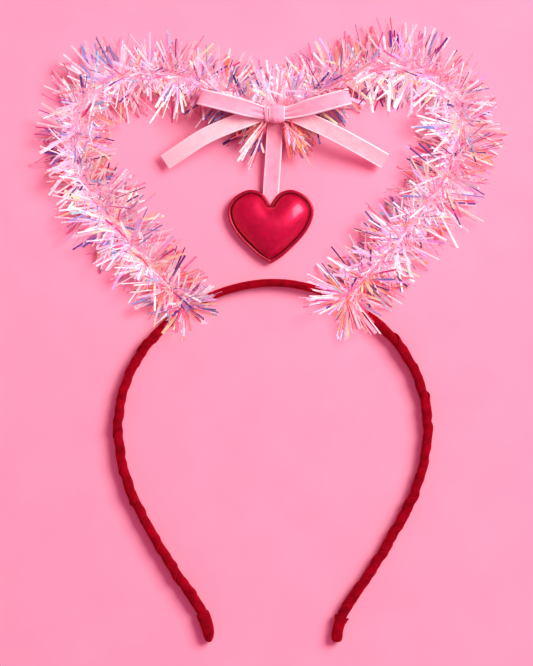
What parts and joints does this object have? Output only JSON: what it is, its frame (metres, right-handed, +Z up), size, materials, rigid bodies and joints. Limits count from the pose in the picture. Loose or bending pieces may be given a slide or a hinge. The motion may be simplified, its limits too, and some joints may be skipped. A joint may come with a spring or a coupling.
{
  "type": "fringe headband",
  "caption": "Velvet-wound head band carrying an iridescent tinsel garland bent into a heart, with a pink ribbon bow at its dip and a padded heart hanging from the knot.",
  "frame": {"origin": "middle of the part's footprint, on the surface it lies on", "axes": "+X to the picture's right, +Y from the band's tips towards the garland, which is up in the picture, +Z up from the surface towards the camera"},
  "size_m": [0.2066, 0.2703, 0.0267],
  "materials": {
    "dark_velvet": "dark red velvet pile, wound in overlapping turns",
    "tinsel_film": "clear iridescent film strips, white, pink, coral and lilac by turns",
    "pink_velvet": "pale pink velvet ribbon with paler edges",
    "red_leatherette": "pearly crimson leatherette, softly glossy"
  },
  "bodies": {
    "root": {"band": "dark_velvet", "end_fold_left": "dark_velvet", "end_fold_right": "dark_velvet", "tinsel_heart": "tinsel_film", "bow_loops": "pink_velvet", "bow_tails": "pink_velvet", "bow_knot": "pink_velvet", "heart_hanger": "pink_velvet", "heart_front": "red_leatherette", "heart_back": "red_leatherette"}
  },
  "joints": []
}
